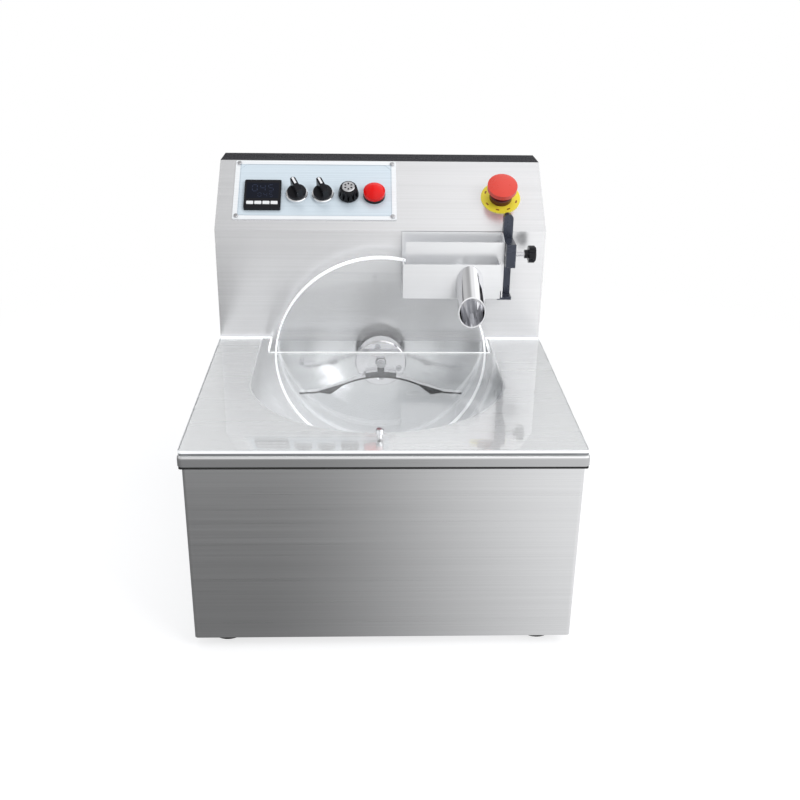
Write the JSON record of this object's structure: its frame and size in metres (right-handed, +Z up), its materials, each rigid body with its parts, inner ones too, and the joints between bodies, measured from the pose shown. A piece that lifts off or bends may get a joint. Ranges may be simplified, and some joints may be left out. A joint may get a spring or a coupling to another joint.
{
  "type": "chocolate melting machine",
  "caption": "Table-top chocolate melter: heated steel bowl under a clear notched lid, clear dosing wheel, lift-off scraper with spout, rear housing with sloping control panel and drive.",
  "frame": {"origin": "on the surface it stands on, under the middle of the machine's overall box", "axes": "+Z up; -Y towards the person at the front, +Y to the rear housing; +X to that person's right"},
  "size_m": [0.43, 0.5, 0.464],
  "materials": {
    "sheet_steel": "horizontal satin grain",
    "plate_steel": "bright polished sheet",
    "tank_steel": "polished inside",
    "turned_steel": "turned and polished",
    "food_steel": "folded sheet, electropolished",
    "fastener_steel": "bright",
    "clear_plastic": "clear, polished edge",
    "slate_coat": "satin",
    "black_plastic": "moulded",
    "black_gloss": "gloss",
    "grey_key": "moulded",
    "fascia": "satin with a raised border",
    "knob_cap": "spun",
    "red_lens": "gloss dome",
    "stop_red": "moulded",
    "stop_yellow": "moulded",
    "foot_rubber": "matt",
    "seal_rubber": "matt",
    "heater_rubber": "silicone mat",
    "wiper_plastic": "food-grade plastic",
    "cast_aluminium": "as cast",
    "bracket_coat": "zinc grey",
    "motor_coat": "satin black",
    "board_green": "laminate",
    "terminal_grey": "moulded"
  },
  "bodies": {
    "machine": {"cabinet_wrap": "sheet_steel", "base_plate": "sheet_steel", "rubber_feet": "foot_rubber", "foot_screws": "fastener_steel", "top_plate": "plate_steel", "melting_tank": "tank_steel", "heater_mat": "heater_rubber", "temperature_probe": "fastener_steel", "rear_housing": "sheet_steel", "rear_cover": "sheet_steel", "panel_screws": "fastener_steel", "label_plate": "fascia", "controller_case": "black_plastic", "controller_window": "black_gloss", "selector_bodies": "black_plastic", "speed_pot": "fastener_steel", "lamp_body": "black_plastic", "lamp_lens": "red_lens", "stop_ring": "stop_yellow", "stop_body": "black_plastic", "panel_nuts": "black_plastic", "bearing_housing": "cast_aluminium", "shaft_seal": "seal_rubber", "shaft_bearings": "turned_steel", "motor_bracket": "bracket_coat", "gearbox": "cast_aluminium", "drive_motor": "motor_coat", "support_post": "slate_coat", "frame_fasteners": "fastener_steel", "speed_board": "board_green", "terminal_block": "terminal_grey", "power_inlet": "black_gloss"},
    "wheel": {"dosing_disc": "clear_plastic", "front_hub": "turned_steel", "rear_hub": "turned_steel", "wheel_fasteners": "fastener_steel", "wheel_shaft": "turned_steel", "shaft_coupling": "cast_aluminium", "output_shaft": "turned_steel"},
    "blade": {"stirring_blade": "food_steel", "blade_hanger": "turned_steel", "blade_bolt": "fastener_steel"},
    "scraper": {"scraper_frame": "food_steel", "scraper_trough": "food_steel", "spout_tube": "food_steel", "wiper_pads": "wiper_plastic"},
    "clamp": {"clamp_screw": "fastener_steel"},
    "star": {"star_knob": "black_plastic"},
    "lid": {"tank_lid": "clear_plastic", "lid_knob": "turned_steel"},
    "heat_switch": {"heat_knob": "black_plastic"},
    "motor_switch": {"motor_knob": "black_plastic"},
    "speed_dial": {"speed_knob": "black_plastic", "speed_knob_cap": "knob_cap"},
    "stop_plunger": {"stop_stem": "black_plastic"},
    "stop_cap": {"stop_head": "stop_red"},
    "key_1": {"controller_key_1": "grey_key"},
    "key_2": {"controller_key_2": "grey_key"},
    "key_3": {"controller_key_3": "grey_key"},
    "key_4": {"controller_key_4": "grey_key"}
  },
  "joints": [
    {"name": "wheel_turn", "type": "hinge", "parent": "machine", "child": "wheel", "pos_m": [0, 0.1, 0.2245], "axis": [0, 1, 0], "continuous": true},
    {"name": "blade_swing", "type": "hinge", "parent": "machine", "child": "blade", "pos_m": [0, 0.05, 0.2245], "axis": [0, 1, 0], "range_deg": [-60, 60]},
    {"name": "scraper_lift", "type": "slide", "parent": "machine", "child": "scraper", "axis": [0, 0, 1], "range_m": [0, 0.06]},
    {"name": "clamp_draw", "type": "slide", "parent": "machine", "child": "clamp", "axis": [1, 0, 0], "range_m": [0, 0.002]},
    {"name": "star_turn", "type": "hinge", "parent": "clamp", "child": "star", "pos_m": [0.185, 0.06, 0.373], "axis": [1, 0, 0], "range_deg": [0, 720]},
    {"name": "lid_lift", "type": "slide", "parent": "machine", "child": "lid", "axis": [0, 0, 1], "range_m": [0, 0.045]},
    {"name": "heat_turn", "type": "hinge", "parent": "machine", "child": "heat_switch", "pos_m": [-0.11, 0.14424, 0.42796], "axis": [0, -0.6157, 0.788], "range_deg": [-60, 0]},
    {"name": "motor_turn", "type": "hinge", "parent": "machine", "child": "motor_switch", "pos_m": [-0.0762, 0.14424, 0.42796], "axis": [0, -0.6157, 0.788], "range_deg": [-60, 0]},
    {"name": "speed_turn", "type": "hinge", "parent": "machine", "child": "speed_dial", "pos_m": [-0.0424, 0.14424, 0.42796], "axis": [0, -0.6157, 0.788], "range_deg": [-280, 0]},
    {"name": "stop_press", "type": "slide", "parent": "machine", "child": "stop_plunger", "axis": [0, 0.6157, -0.788], "range_m": [0, 0.005], "stiffness_N_per_m": 600},
    {"name": "stop_twist", "type": "hinge", "parent": "stop_plunger", "child": "stop_cap", "pos_m": [0.158, 0.1426, 0.42681], "axis": [0, -0.6157, 0.788], "range_deg": [-45, 0], "stiffness_Nm_per_rad": 0.02},
    {"name": "key_1_press", "type": "slide", "parent": "machine", "child": "key_1", "axis": [0, 0.6157, -0.788], "range_m": [0, 0.0005], "stiffness_N_per_m": 400},
    {"name": "key_2_press", "type": "slide", "parent": "machine", "child": "key_2", "axis": [0, 0.6157, -0.788], "range_m": [0, 0.0005], "stiffness_N_per_m": 400},
    {"name": "key_3_press", "type": "slide", "parent": "machine", "child": "key_3", "axis": [0, 0.6157, -0.788], "range_m": [0, 0.0005], "stiffness_N_per_m": 400},
    {"name": "key_4_press", "type": "slide", "parent": "machine", "child": "key_4", "axis": [0, 0.6157, -0.788], "range_m": [0, 0.0005], "stiffness_N_per_m": 400}
  ],
  "couplings": [
    {"joint": "star_turn", "follows": "clamp_draw", "rad_per_m": 6283.2}
  ]
}
